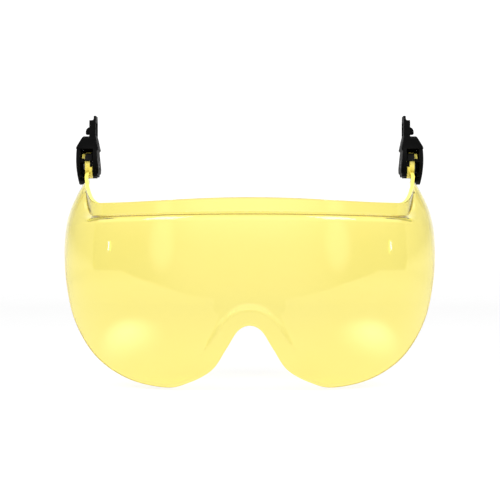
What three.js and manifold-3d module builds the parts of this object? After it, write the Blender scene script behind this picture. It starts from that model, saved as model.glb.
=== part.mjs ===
// Eye shield for a helmet: a one-piece clear visor that tilts between two plug-in side clips.
// Millimetres. +X is to the right as seen from the front, the front faces -Y, +Z is up.
// The origin is on the tilt axis, half way between the clips.

import * as THREE from 'three';
import * as BufferGeometryUtils from 'three/addons/utils/BufferGeometryUtils.js';
import Module from 'manifold-3d';

const wasm = await Module();
wasm.setup();

// ---- Driving dimensions ---------------------------------------------------------------------------

// Lens, plan view (seen from above)
const armOuterX = 97.4;          // outer face of the arm, from the middle plane
const browFront = 112;           // front of the brow band, ahead of the tilt axis
const armBendY = -10;            // the arms run straight back from here
const bowlBulge = 11.4;          // how far the bowl stands outside the arms at its widest
const ledgeOut = 4.5;            // how far the bowl stands ahead of the brow band
const bowlBendY = -20;           // widest place of the bowl's plan curve
const bandFullTo = 50;           // plan angle to which the brow band keeps the bowl's plan curve
const bandSlimFrom = 82;         // and from which it has the arm's
const browLean = 0.14;           // the brow band leans back by this much of its height

// Lens, heights
const browTop = -22.7;           // top edge, in the middle
const browDrop = 2.1;            // how far the top edge falls towards the sides
const browLevel = 45.5;          // plan angle where it stops falling
const ledgeZ = -32.8;            // the step under the brow band, in the middle
const ledgeFall = 2;             // how far the step falls towards the sides
const ledgeTall = 5;             // height over which the band steps out to the bowl
const ledgeTallSide = 34;        // the same at the sides, where the step fades out
const ledgeRise = 5;             // how far the fading step climbs towards the arm
const ledgeFadeFrom = 57;        // plan angle where the step starts to fade
const ledgeFadeTo = 84;
const bowlMiddleZ = -62;         // height at which the bowl stands out furthest
const bowlCurve = 0.0023;        // upright curvature of the bowl, 1/mm
const noseTop = -91;             // top of the nose cut-out
const lobeBottom = -125.2;       // lowest point of the lens
const noseHalf = 11.4;           // plan angle of the cut-out's lower end, degrees
const lobeAngle = 27.5;          // plan angle of the lowest point, degrees
const cheekAngle = 56.4;         // plan angle at the middle of the outer curve, degrees
const cheekZ = -109.2;           // height there
const sideAngle = 73.6;          // plan angle where the outer curve turns up into the rear edge
const sideZ = -73.3;             // height there
const noseFoldOut = 2;           // how far the border round the nose cut-out stands out of the bowl
const noseFoldWide = 8.2;        // width of that border
const noseFoldStep = 3.6;        // width of the step down from it
const noseFoldHollow = 12;       // width of the shallow hollow that the step runs into
const noseFoldFrom = 13;         // plan angle where the border starts to fade
const noseFoldFade = 9;          // degrees over which it fades

// Lens, arm and eye
const lensWall = 2.1;
const eyeWide = 2.9;             // thickness of the eye, along the tilt axis
const eyeRadius = 7.4;
const armTopAngle = 69.5;        // plan angle where the arm's top edge starts
const armTopZ = -15.7;           // height there
const armTopSlope = 0.5;         // climb of the top edge, mm per degree of plan angle
const armRootZ = -16;            // lower edge of the arm where it bends straight back
const armRootY = -5;             // the arm's skin ends here, inside the eye
const keyFrom = -72;             // driving key on the eye: from this angle, seen from the side
const keyTo = -12;
const keyOut = 1.0;              // the key stands this far past the eye's rim
const gussetDrop = 2.6;          // rib that ties the key to the arm: its fall below the key
const gussetLong = 3.6;
const toothFrom = 27;            // stop tooth on the eye's outer face
const toothTo = 60;
const toothTall = 1.8;
const toothClear = 2.6;          // from the bush to the tooth

// Tilt
const tiltRange = 65;            // degrees, from lowered to raised
const bushRadius = 3.0;
const screwRadius = 1.5;
const runningGap = 0.08;         // radial clearance of the eye and the hub on the bush
const sideGap = 0.1;             // clearance between flat faces that touch in the real clip

// Ratchet hub and pawl
const hubWide = 1.2;
const washerThick = 0.4;
const saddleFrom = 14;           // the hub's saddle over the eye's rim
const saddleTo = 46;
const saddleThick = 1.3;
const rimGap = 0.3;              // clearance round the eye's rim
const notchCount = 6;
const notchRadius = 0.75;
const pawlAngle = 135;           // where the pawl's nose meets the hub
const pawlThick = 0.7;

// Clip body
const cheekWide = 3.2;           // inner cheek, along the tilt axis
const cheekAhead = 2.2;          // the cheeks reach this far ahead of the eye
const cheekShort = 0.2;          // and end this far above its lowest point
const wallClear = 1.2;           // from the eye to the back wall
const backWall = 3.4;
const backWallDown = 7.6;        // the back wall reaches this far below the tilt axis
const roofGap = 0.3;             // over the hub's saddle
const shoulderTall = 7.5;        // from the roof of the eye's space to the shoulder
const bladeTall = 9.7;           // from the shoulder to the blade's square end
const lipTall = 2.7;             // the lip at the blade's inner face stands above that
const lipWide = 1.3;
const bladeWide = 3.8;           // blade thickness, to suit a 4 mm slot
const bladeOut = 2.4;            // the blade's outer face stands this far outside the cheek's face
const bladeFront = -5.5;
const bladeBack = 9.5;
const shoulderFront = -7.5;

// Latch tongue
const tongueWide = 7;
const tongueThick = 1.7;
const windowGap = 0.35;
const barbOut = 2.5;
const slotEdge = 1.5;            // thickness of the helmet's slot edge, under the barb
const barbTall = 4.4;

// Outer cover
const coverGap = 2.7;            // from the eye to the cover's flat inner face
const coverThick = 3.1;          // at the middle of the crown
const coverOver = 4.4;           // the cover's rim stands this far outside the eye
const coverCrown = 1.3;          // how much thinner the cover is at its rim
const crownZ = 3;                // the crown is highest this far above the tilt axis
const coverShort = 0.2;          // the cover stops this far below the shoulder's underside
const footDeep = 2.6;            // radial width of the rim at the bottom of the cover
const footWide = 2.5;            // how far that rim reaches in over the eye's edge
const bossOver = 1.4;            // the boss stands this far outside the bush
const stopLong = 17;             // degrees that each of the cover's two stops takes up
const stopGap = 1.5;             // degrees from a stop to the eye's tooth at the end of the tilt
const nutGap = 0.15;             // round the nut's flats
const nutSink = 0.4;             // the nut lies this far below the cover's crown
const nutAcross = 5.5;           // across flats
const nutThick = 2.4;
const threadGap = 0.05;          // between the plain screw and the plain bore of the nut

// Screws
const screwHeadRadius = 2.75;
const screwHeadThick = 1.4;
const coverScrewZ = 4;
const coverScrewRadius = 0.9;
const coverScrewLength = 6;
const coverScrewHead = 1.7;

// ---- Derived sizes ----------------------------------------------------------------------------------

const bowlFront = browFront + ledgeOut;
const keyRadius = eyeRadius + keyOut;
const toothInner = bushRadius + toothClear;
const saddleRadius = eyeRadius + rimGap + saddleThick;
const cheekFront = -(eyeRadius + cheekAhead);
const cheekBottom = -(eyeRadius - cheekShort);
const wallFront = eyeRadius + wallClear;
const clipBack = wallFront + backWall;
const ceilingZ = saddleRadius + roofGap;
const shoulderTop = ceilingZ + shoulderTall;
const bladeTop = shoulderTop + bladeTall;
const lipTop = bladeTop + lipTall;
const barbBottom = shoulderTop + slotEdge;
const barbTop = barbBottom + barbTall;
const coverRadius = eyeRadius + coverOver;
const coverTop = ceilingZ - coverShort;
const footInner = coverRadius - footDeep;
const hexCorner = 1 / Math.cos(Math.PI / 6);
const nutPocketRadius = (nutAcross / 2 + nutGap) * hexCorner;
const bossRadius = bushRadius + bossOver;
const coverBack = clipBack - 0.4;
const screwY = clipBack - backWall / 2;
const tongueY = (bladeFront + bladeBack) / 2;

// ---- Derived places along the tilt axis, right-hand side ------------------------------------------

const eyeOuter = armOuterX + 0.6;
const eyeInner = eyeOuter - eyeWide;
const hubOuter = eyeInner - sideGap;
const hubInner = hubOuter - hubWide;
const cheekFace = hubInner - washerThick - 2 * sideGap;
const cheekBack = cheekFace - cheekWide;
const coverFace = eyeOuter + coverGap;
const waveTall = 0.8;
const bossFace = eyeOuter + waveTall + 2 * sideGap;
const nutFace = coverFace + coverThick - nutSink - nutThick;
const bladeOuter = cheekFace + bladeOut;
const bladeInner = bladeOuter - bladeWide;

const rad = THREE.MathUtils.degToRad;
const smooth = (t) => THREE.MathUtils.smoothstep(t, 0, 1);

// ---- Solids: to and from manifold-3d --------------------------------------------------------------

function solid(geometry) {
  const bare = geometry.index ? geometry.toNonIndexed() : geometry.clone();
  bare.deleteAttribute('normal');
  bare.deleteAttribute('uv');
  const merged = BufferGeometryUtils.mergeVertices(bare, 1e-4);
  return new wasm.Manifold(new wasm.Mesh({
    numProp: 3,
    vertProperties: Float32Array.from(merged.attributes.position.array),
    triVerts: Uint32Array.from(merged.index.array),
  }));
}

function geometryOf(body) {
  const mesh = body.getMesh();
  const geometry = new THREE.BufferGeometry();
  const positions = new Float32Array(mesh.numVert * 3);
  for (let i = 0; i < mesh.numVert; i += 1) {
    for (let k = 0; k < 3; k += 1) {
      positions[i * 3 + k] = mesh.vertProperties[i * mesh.numProp + k];
    }
  }
  geometry.setAttribute('position', new THREE.BufferAttribute(positions, 3));
  geometry.setIndex(new THREE.BufferAttribute(Uint32Array.from(mesh.triVerts), 1));
  geometry.computeVertexNormals();
  return geometry;
}

// The other hand of a part: mirrored in the middle plane, with its faces turned right side out.
function mirrored(geometry) {
  const copy = geometry.index ? geometry.toNonIndexed() : geometry.clone();
  copy.scale(-1, 1, 1);
  const p = copy.attributes.position;
  for (let i = 0; i < p.count; i += 3) {
    const a = new THREE.Vector3().fromBufferAttribute(p, i + 1);
    const b = new THREE.Vector3().fromBufferAttribute(p, i + 2);
    p.setXYZ(i + 1, b.x, b.y, b.z);
    p.setXYZ(i + 2, a.x, a.y, a.z);
  }
  copy.computeVertexNormals();
  return copy;
}

// ---- Shapes drawn from the side (Y, Z) and pushed along X -------------------------------------------

// A Shape's own x is Y and its own y is Z. The solid runs from x0 to x1.
function alongX(shape, x0, x1, curveSegments = 12) {
  const geometry = new THREE.ExtrudeGeometry(shape, {
    depth: x1 - x0, bevelEnabled: false, curveSegments,
  });
  geometry.applyMatrix4(new THREE.Matrix4().makeBasis(
    new THREE.Vector3(0, 1, 0), new THREE.Vector3(0, 0, 1), new THREE.Vector3(1, 0, 0)));
  geometry.translate(x0, 0, 0);
  return solid(geometry);
}

// A Shape drawn from the front (X, Z) and pushed along Y, from y0 to y1.
function alongY(shape, y0, y1, curveSegments = 8) {
  const geometry = new THREE.ExtrudeGeometry(shape, {
    depth: y1 - y0, bevelEnabled: false, curveSegments,
  });
  geometry.rotateX(Math.PI / 2);
  geometry.translate(0, y1, 0);
  return solid(geometry);
}

function outline(points) {
  return new THREE.Shape(points.map(([a, b]) => new THREE.Vector2(a, b)));
}

function roundedBox(a0, b0, a1, b1, r) {
  const shape = new THREE.Shape();
  shape.moveTo(a0 + r, b0);
  shape.lineTo(a1 - r, b0);
  shape.absarc(a1 - r, b0 + r, r, -Math.PI / 2, 0);
  shape.lineTo(a1, b1 - r);
  shape.absarc(a1 - r, b1 - r, r, 0, Math.PI / 2);
  shape.lineTo(a0 + r, b1);
  shape.absarc(a0 + r, b1 - r, r, Math.PI / 2, Math.PI);
  shape.lineTo(a0, b0 + r);
  shape.absarc(a0 + r, b0 + r, r, Math.PI, Math.PI * 1.5);
  return shape;
}

// Round bar along X. Its facets start at the same angle for every radius, so bores and pins agree.
function barX(r, x0, x1, y = 0, z = 0, sides = 28) {
  const geometry = new THREE.CylinderGeometry(r, r, x1 - x0, sides);
  geometry.rotateZ(-Math.PI / 2);
  geometry.translate((x0 + x1) / 2, y, z);
  return solid(geometry);
}

// Angles on the side view are counted from straight ahead (-Y) upwards.
function sidePoint(r, degrees) {
  return [-r * Math.cos(rad(degrees)), r * Math.sin(rad(degrees))];
}

// A stretch of ring about the tilt axis, between two side-view angles.
function sector(r0, r1, from, to, x0, x1) {
  const steps = Math.max(3, Math.ceil((to - from) / 6));
  const points = [];
  for (let i = 0; i <= steps; i += 1) {
    points.push(sidePoint(r1, to + (from - to) * (i / steps)));
  }
  for (let i = 0; i <= steps; i += 1) {
    points.push(sidePoint(r0, from + (to - from) * (i / steps)));
  }
  return alongX(outline(points), x0, x1);
}

// ---- Lens -------------------------------------------------------------------------------------------

// Lower edge: height of the edge against the plan angle, half of it, from the middle outwards.
const lowerEdge = new THREE.SplineCurve([
  new THREE.Vector2(-3.4, noseTop - 2.9),
  new THREE.Vector2(0, noseTop),
  new THREE.Vector2(3.4, noseTop - 2.9),
  new THREE.Vector2(0.6 * noseHalf, noseTop - 12.6),
  new THREE.Vector2(noseHalf, noseTop - 24),
  new THREE.Vector2((noseHalf + lobeAngle) / 2, lobeBottom + 2.7),
  new THREE.Vector2(lobeAngle, lobeBottom),
  new THREE.Vector2((lobeAngle + cheekAngle) / 2, lobeBottom + 4.2),
  new THREE.Vector2(cheekAngle, cheekZ),
  new THREE.Vector2((cheekAngle + sideAngle) / 2 + 3.2, (cheekZ + sideZ) / 2 + 1.5),
  new THREE.Vector2(sideAngle, sideZ),
  new THREE.Vector2(sideAngle + 5, sideZ + 17),
  new THREE.Vector2(sideAngle + 10, sideZ + 36),
  new THREE.Vector2(sideAngle + 13.5, sideZ + 49),
  new THREE.Vector2(90, armRootZ),
  new THREE.Vector2(96, armRootZ + 4.5),
]).getPoints(640);

function heightAt(curve, angle) {
  let i = 1;
  while (i < curve.length - 1 && curve[i].x < angle) i += 1;
  const a = curve[i - 1];
  const b = curve[i];
  return a.y + (b.y - a.y) * ((angle - a.x) / (b.x - a.x));
}

function lensBottom(angle) {
  return heightAt(lowerEdge, Math.abs(angle));
}

// Top edge: the brow band, then a hollow curve up into the arm.
function lensTop(angle) {
  const a = Math.abs(angle);
  const brow = browTop - browDrop * Math.sin((Math.min(a / browLevel, 1) * Math.PI) / 2) ** 2;
  const arm = armTopZ + (a - armTopAngle) * armTopSlope;
  const hollow = smooth((a - browLevel - 5) / (armTopAngle - browLevel - 5));
  return brow + (arm - brow) * hollow;
}

// The step under the brow band: crisp across the front, fading out at the sides.
function ledgeAt(a) {
  const fade = smooth((a - ledgeFadeFrom) / (ledgeFadeTo - ledgeFadeFrom));
  const tall = ledgeTall + (ledgeTallSide - ledgeTall) * fade;
  const fall = ledgeFall * Math.sin(rad(Math.min(a, 90))) ** 2;
  const middle = ledgeZ - fall + (ledgeRise + ledgeFall) * fade;
  return { top: middle + tall / 2, bottom: middle - tall / 2 };
}

// Outer face of the lens at a plan angle (past 90 degrees it runs straight back) and a height.
function lensOuter(angle, z) {
  const side = Math.sign(angle) || 1;
  const a = Math.abs(angle);
  const turn = rad(Math.min(a, 90));
  const along = Math.cos(turn) - rad(Math.max(a - 90, 0));
  const step = ledgeAt(a);

  const full = 1 - smooth((a - bandFullTo) / (bandSlimFrom - bandFullTo));
  const bandHalf = armOuterX + (bowlBulge - ledgeOut) * full;
  const bandBend = armBendY + (bowlBendY - armBendY) * full;
  const lean = browLean * (z - step.bottom) * Math.max(along, 0);
  const band = new THREE.Vector2(
    bandHalf * Math.sin(turn),
    bandBend - (browFront + bandBend) * along + lean);

  const sag = bowlCurve * (z - bowlMiddleZ) ** 2;
  const bowl = new THREE.Vector2(
    (armOuterX + bowlBulge - sag) * Math.sin(turn),
    bowlBendY - (bowlFront - sag + bowlBendY) * along);

  // The step turns out sharply under the band and runs gently into the bowl.
  const down = THREE.MathUtils.clamp((step.top - z) / (step.top - step.bottom), 0, 1);
  const plan = band.lerp(bowl, 1 - (1 - down) ** 3);

  // A raised border runs round the nose cut-out, with a shallow hollow outside it.
  const pastBorder = noseEdgeDistance(a, z) - noseFoldWide;
  const fall = 0.65 * smooth(pastBorder / noseFoldStep) + 0.35 * smooth(pastBorder / noseFoldHollow);
  plan.y -= noseFoldOut * (1 - fall) * (1 - smooth((a - noseFoldFrom) / noseFoldFade));
  return new THREE.Vector3(side * plan.x, plan.y, z);
}

// Distance from a point of the lens to the nose cut-out, measured on the skin.
const mmPerDegree = rad(1) * (armOuterX + bowlBulge);
function noseEdgeDistance(angle, z) {
  let best = Infinity;
  for (const p of lowerEdge) {
    if (p.x >= 0 && p.x < noseHalf + 3) {
      const d = Math.hypot((angle - p.x) * mmPerDegree, z - p.y);
      best = Math.min(best, d);
    }
  }
  return best;
}

function lensInner(angle, z) {
  const e = 0.05;
  const p = lensOuter(angle, z);
  const du = lensOuter(angle + e, z).sub(lensOuter(angle - e, z));
  const dv = lensOuter(angle, z + e).sub(lensOuter(angle, z - e));
  const outward = du.cross(dv).normalize();
  return p.addScaledVector(outward, -lensWall);
}

// The end of the arm's skin, as a plan angle past 90 degrees.
const armEnd = 90 + THREE.MathUtils.radToDeg((armRootY - armBendY) / (browFront + armBendY));

function lensColumns() {
  const columns = [];
  const runs = [[0, 15, 12], [15, 55, 13], [55, 76, 10], [76, 90, 4], [90, armEnd, 2]];
  for (const [from, to, count] of runs) {
    for (let i = 0; i < count; i += 1) {
      columns.push(from + (to - from) * (i / count));
    }
  }
  columns.push(armEnd);
  const left = columns.slice(1).reverse().map((a) => -a);
  return left.concat(columns);
}

// Heights of one column's rows, from the top edge down, with rows of their own on the step.
const rowRuns = [3, 4, 9];
function lensRows(angle) {
  const top = lensTop(angle);
  const bottom = lensBottom(angle);
  const tall = top - bottom;
  const step = ledgeAt(Math.abs(angle));
  const clamp = THREE.MathUtils.clamp;
  const upper = clamp((top - step.top) / tall, 0.06, 0.35);
  const lower = clamp((top - step.bottom) / tall, upper + 0.05, 0.6);
  const stops = [0, upper, lower, 1];
  const heights = [];
  rowRuns.forEach((count, run) => {
    for (let j = 0; j < count; j += 1) {
      const t = stops[run] + (stops[run + 1] - stops[run]) * (j / count);
      heights.push(top - tall * t);
    }
  });
  heights.push(bottom);
  return heights;
}

function lensSkin() {
  const columns = lensColumns();
  const rows = rowRuns.reduce((sum, count) => sum + count, 0);
  const points = [];
  const triangles = [];
  const wide = columns.length;
  for (const face of [lensOuter, lensInner]) {
    for (const angle of columns) {
      for (const z of lensRows(angle)) {
        points.push(...face(angle, z).toArray());
      }
    }
  }
  const at = (face, i, j) => (face * wide + i) * (rows + 1) + j;
  const quad = (a, b, c, d) => triangles.push(a, b, c, a, c, d);
  for (let i = 0; i < wide - 1; i += 1) {
    for (let j = 0; j < rows; j += 1) {
      quad(at(0, i, j), at(0, i, j + 1), at(0, i + 1, j + 1), at(0, i + 1, j));
      quad(at(1, i, j), at(1, i + 1, j), at(1, i + 1, j + 1), at(1, i, j + 1));
    }
    quad(at(0, i, 0), at(0, i + 1, 0), at(1, i + 1, 0), at(1, i, 0));
    quad(at(0, i, rows), at(1, i, rows), at(1, i + 1, rows), at(0, i + 1, rows));
  }
  for (let j = 0; j < rows; j += 1) {
    quad(at(0, 0, j), at(1, 0, j), at(1, 0, j + 1), at(0, 0, j + 1));
    quad(at(0, wide - 1, j), at(0, wide - 1, j + 1), at(1, wide - 1, j + 1), at(1, wide - 1, j));
  }
  const geometry = new THREE.BufferGeometry();
  geometry.setAttribute('position', new THREE.BufferAttribute(new Float32Array(points), 3));
  geometry.setIndex(triangles);
  return solid(geometry);
}

// The eye at the end of the arm, with its driving key and its stop tooth.
function lensEye() {
  const keyInner = hubInner - sideGap;
  return barX(eyeRadius, eyeInner, eyeOuter, 0, 0, 32)
    .add(sector(bushRadius + 1, keyRadius, keyFrom, keyTo, keyInner, eyeInner + 0.5))
    .add(alongY(outline([
      [keyInner + 0.1, -keyRadius + 1.5],
      [keyInner + 0.1, -keyRadius - 0.1],
      [eyeInner - 0.2, -keyRadius - gussetDrop],
      [eyeInner + 0.7, -keyRadius - gussetDrop],
      [eyeInner + 0.7, -keyRadius + 1.5],
    ]), armRootY - gussetLong, armRootY + 0.6))
    .add(sector(toothInner, eyeRadius, toothFrom, toothTo, eyeOuter - 0.5, eyeOuter + toothTall));
}

function lensSolid() {
  const eye = lensEye();
  const other = solid(mirrored(geometryOf(eye)));
  const reach = eyeOuter + 5;
  return lensSkin().add(eye).add(other)
    .subtract(barX(bushRadius + runningGap, -reach, reach, 0, 0, 32));
}

// ---- Side clip, right-hand ----------------------------------------------------------------------------

function clipBody() {
  const flareOuter = coverFace + coverThick - 0.5;
  const shoulderOuter = bladeOuter + 3.9;
  const front = new THREE.Shape();
  front.moveTo(bladeInner, lipTop);
  front.lineTo(cheekBack + 0.2, ceilingZ - 0.3);
  front.lineTo(cheekBack + 1.0, ceilingZ - 1.3);
  front.lineTo(cheekBack - 0.1, cheekBottom + 4.4);
  front.lineTo(cheekBack, cheekBottom + 2.1);
  front.lineTo(cheekBack + 0.6, cheekBottom + 1.7);
  front.lineTo(cheekBack + 0.6, cheekBottom);
  front.lineTo(cheekFace, cheekBottom);
  front.lineTo(cheekFace, ceilingZ);
  const cheek = alongY(front, cheekFront, clipBack)
    .intersect(alongX(outline([
      [cheekFront, ceilingZ - 4.2],
      [cheekFront, -1.5],
      [cheekFront + 1.6, cheekBottom + 2.2],
      [cheekFront + 4.2, cheekBottom - 0.1],
      [clipBack - 5.5, cheekBottom - 0.1],
      [clipBack - 1.8, cheekBottom + 2.4],
      [clipBack, -1.2],
      [clipBack, ceilingZ + 0.5],
      [shoulderFront, ceilingZ + 0.5],
    ]), cheekBack - 2, cheekFace + 1));

  const crown = new THREE.Shape();
  crown.moveTo(bladeInner, lipTop);
  crown.lineTo(bladeInner, shoulderTop);
  crown.lineTo(cheekBack + 0.2, ceilingZ - 0.2);
  crown.lineTo(cheekBack + 1.0, ceilingZ - 1.3);
  crown.lineTo(cheekFace, ceilingZ - 1.3);
  crown.lineTo(cheekFace, ceilingZ);
  crown.lineTo(flareOuter, ceilingZ);
  crown.quadraticCurveTo(flareOuter, ceilingZ + 0.8, flareOuter - 0.5, ceilingZ + 1.7);
  crown.lineTo(shoulderOuter, shoulderTop - 0.4);
  crown.lineTo(shoulderOuter - 0.5, shoulderTop);
  crown.lineTo(bladeOuter, shoulderTop);
  crown.lineTo(bladeOuter, bladeTop);
  crown.lineTo(bladeInner + lipWide + 0.9, bladeTop);
  crown.quadraticCurveTo(bladeInner + lipWide, bladeTop + 0.1, bladeInner + lipWide, bladeTop + 1.4);
  crown.lineTo(bladeInner + lipWide, lipTop);
  const side = outline([
    [shoulderFront, ceilingZ - 2],
    [clipBack - 0.5, ceilingZ - 2],
    [clipBack - 0.5, shoulderTop - 1.5],
    [bladeBack, shoulderTop + 0.4],
    [bladeBack, bladeTop - 1.5],
    [bladeBack - 1.8, lipTop],
    [bladeFront + 1.8, lipTop],
    [bladeFront, bladeTop - 1.5],
    [bladeFront, shoulderTop + 0.4],
    [shoulderFront, shoulderTop - 1.5],
  ]);
  const shoulder = alongY(crown, shoulderFront, clipBack)
    .intersect(alongX(side, cheekBack - 2, flareOuter + 2));

  const wall = alongX(roundedBox(wallFront, -backWallDown, coverBack, ceilingZ + 1, 0.5),
    cheekFace - 1, coverFace - sideGap);
  const pawlRoom = alongX(outline([
    [wallFront - 0.5, 0.2],
    [wallFront + 1.1, 0.2],
    [wallFront + 1.1, ceilingZ],
    [wallFront - 0.5, ceilingZ],
  ]), cheekFace, hubOuter + 0.4);

  const half = tongueWide / 2 + windowGap;
  const window = alongX(roundedBox(tongueY - half, shoulderTop + 0.6, tongueY + half, bladeTop - 1.2, 0.4),
    bladeInner - 1, bladeOuter + 1);

  const reach = coverFace - 0.2;
  return cheek.add(shoulder).add(wall)
    .subtract(pawlRoom)
    .subtract(window)
    .subtract(barX(screwRadius + sideGap, cheekBack - 3, cheekFace + 1))
    .subtract(barX(screwHeadRadius + sideGap, cheekBack - 3, cheekBack + screwHeadThick + sideGap))
    .subtract(barX(coverScrewRadius + runningGap, reach - coverScrewLength, reach + 1,
      screwY, coverScrewZ, 20));
}

function outerCover() {
  // The crown is a shallow dome, cut to the outline seen from the side.
  const rim = clipBack + 5;
  const domeRadius = (coverRadius ** 2 + coverCrown ** 2) / (2 * coverCrown);
  const profile = [new THREE.Vector2(0, 0)];
  profile.push(new THREE.Vector2(rim, 0));
  const steps = 8;
  for (let i = 0; i <= steps; i += 1) {
    const r = rim * (1 - i / steps);
    const fall = domeRadius - Math.sqrt(domeRadius ** 2 - r ** 2);
    profile.push(new THREE.Vector2(i === steps ? 0 : r, coverThick - fall));
  }
  const dome = new THREE.LatheGeometry(profile, 40);
  dome.rotateZ(-Math.PI / 2);
  dome.translate(coverFace, 0, crownZ);

  const shape = new THREE.Shape();
  const topAngle = Math.asin(coverTop / coverRadius);
  shape.moveTo(coverBack, coverTop);
  shape.lineTo(-coverRadius * Math.cos(topAngle), coverTop);
  shape.absarc(0, 0, coverRadius, Math.PI - topAngle, Math.PI * 2 - 0.75, false);
  shape.lineTo(coverBack, -backWallDown + 0.4);
  const plate = solid(dome).intersect(alongX(shape, coverFace - 1, coverFace + coverThick + 1, 28));

  const nutPocket = barX(nutPocketRadius, nutFace - sideGap, coverFace + coverThick + 1, 0, 0, 6);
  const stop = (from, to) => sector(toothInner, eyeRadius + 0.6, from, to, eyeOuter + 0.25, coverFace + 0.5);
  return plate
    .add(barX(bossRadius, bossFace, coverFace + 0.5))
    .add(sector(footInner, coverRadius, -125, -55, coverFace - footWide, coverFace + 0.4))
    .add(stop(toothFrom - stopGap - stopLong, toothFrom - stopGap))
    .add(stop(toothTo + tiltRange + stopGap, toothTo + tiltRange + stopGap + stopLong))
    .subtract(nutPocket)
    .subtract(barX(screwRadius + sideGap, bossFace - 1, nutFace + 1))
    .subtract(barX(coverScrewRadius + sideGap, coverFace - 1, coverFace + 5, screwY, coverScrewZ, 20))
    .subtract(barX(coverScrewHead + sideGap, coverFace + 0.9, coverFace + 5, screwY, coverScrewZ, 20));
}

// Sprung tongue in the blade's window, with the barb that catches under the edge of the helmet slot.
function latchTongue() {
  const top = bladeTop - 1.2 - windowGap;
  const bottom = shoulderTop + 0.6 + windowGap;
  const inner = bladeOuter - tongueThick;
  const shape = new THREE.Shape();
  shape.moveTo(inner, bottom);
  shape.lineTo(bladeOuter, bottom);
  shape.lineTo(bladeOuter, barbBottom);
  shape.lineTo(bladeOuter + barbOut, barbBottom);
  shape.lineTo(bladeOuter + barbOut, barbBottom + 1.2);
  shape.quadraticCurveTo(bladeOuter + barbOut, barbTop - 0.6, bladeOuter, barbTop);
  shape.lineTo(bladeOuter, top - 0.5);
  shape.lineTo(bladeOuter - 0.5, top);
  shape.lineTo(inner, top);
  return alongY(shape, tongueY - tongueWide / 2, tongueY + tongueWide / 2);
}

// Notched hub with a saddle over the eye's rim. A gap in its disc takes the eye's driving key.
function ratchetHub() {
  const gap = 2;
  let hub = sector(bushRadius + 1 - 0.4, eyeRadius, keyTo + gap, 360 + keyFrom - gap, hubInner, hubOuter)
    .add(barX(bushRadius + 0.75, hubInner, hubOuter, 0, 0, 32))
    .add(sector(eyeRadius - 1, saddleRadius, saddleFrom, saddleTo, hubInner, hubOuter))
    .add(sector(eyeRadius + rimGap, saddleRadius, saddleFrom, saddleTo, hubOuter - 0.3, eyeOuter - 0.1))
    .subtract(barX(bushRadius + runningGap, hubInner - 1, eyeOuter + 1, 0, 0, 32));
  const pitch = tiltRange / (notchCount - 1);
  for (let i = 0; i < notchCount; i += 1) {
    const [y, z] = sidePoint(eyeRadius + notchRadius * 0.35, pawlAngle - i * pitch);
    hub = hub.subtract(barX(notchRadius, hubInner - 1, hubOuter + 1, y, z, 12));
  }
  return hub;
}

// Leaf that stands on the back wall, with its nose bent over towards the hub.
function detentPawl() {
  const y1 = wallFront - 0.1;
  const y0 = y1 - pawlThick;
  const [noseY, noseZ] = sidePoint(eyeRadius + rimGap, pawlAngle);
  const shape = outline([
    [y0, -1.4],
    [y1, -1.4],
    [y1, ceilingZ - 1.9],
    [y1 - 0.5, ceilingZ - 1.3],
    [noseY + 0.9, ceilingZ - 1.3],
    [noseY, noseZ + 0.5],
    [noseY, noseZ],
    [noseY + 0.5, noseZ],
    [y0, noseZ + 0.9],
  ]);
  return alongX(shape, hubInner, hubOuter);
}

function pivotBush() {
  return barX(bushRadius, cheekFace + sideGap, bossFace - sideGap, 0, 0, 32)
    .subtract(barX(screwRadius + 0.1, cheekFace - 1, bossFace + 1));
}

function thrustWasher() {
  return barX(bushRadius + 2.2, cheekFace + sideGap, hubInner - sideGap, 0, 0, 32)
    .subtract(barX(bushRadius + 0.2, cheekFace - 1, hubInner + 1, 0, 0, 32));
}

// Spring washer with three waves, made as a ring whose two faces rise and fall together.
function waveWasher() {
  const steps = 36;
  const thick = 0.3;
  const swing = (waveTall - thick) / 2;
  const middle = (eyeOuter + bossFace) / 2;
  const inner = bushRadius + 0.25;
  const outer = bushRadius + 2.1;
  const ring = [[inner, -1], [outer, -1], [outer, 1], [inner, 1]];
  const points = [];
  const triangles = [];
  for (let i = 0; i < steps; i += 1) {
    const turn = (i / steps) * Math.PI * 2;
    for (const [r, face] of ring) {
      const x = middle + swing * Math.cos(3 * turn) + face * thick / 2;
      points.push(x, r * Math.cos(turn), r * Math.sin(turn));
    }
    const next = (i + 1) % steps;
    for (let k = 0; k < ring.length; k += 1) {
      const m = (k + 1) % ring.length;
      const a = i * 4 + k;
      const b = i * 4 + m;
      const c = next * 4 + m;
      const d = next * 4 + k;
      triangles.push(a, c, b, a, d, c);
    }
  }
  const geometry = new THREE.BufferGeometry();
  geometry.setAttribute('position', new THREE.BufferAttribute(new Float32Array(points), 3));
  geometry.setIndex(triangles);
  return solid(geometry);
}

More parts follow.
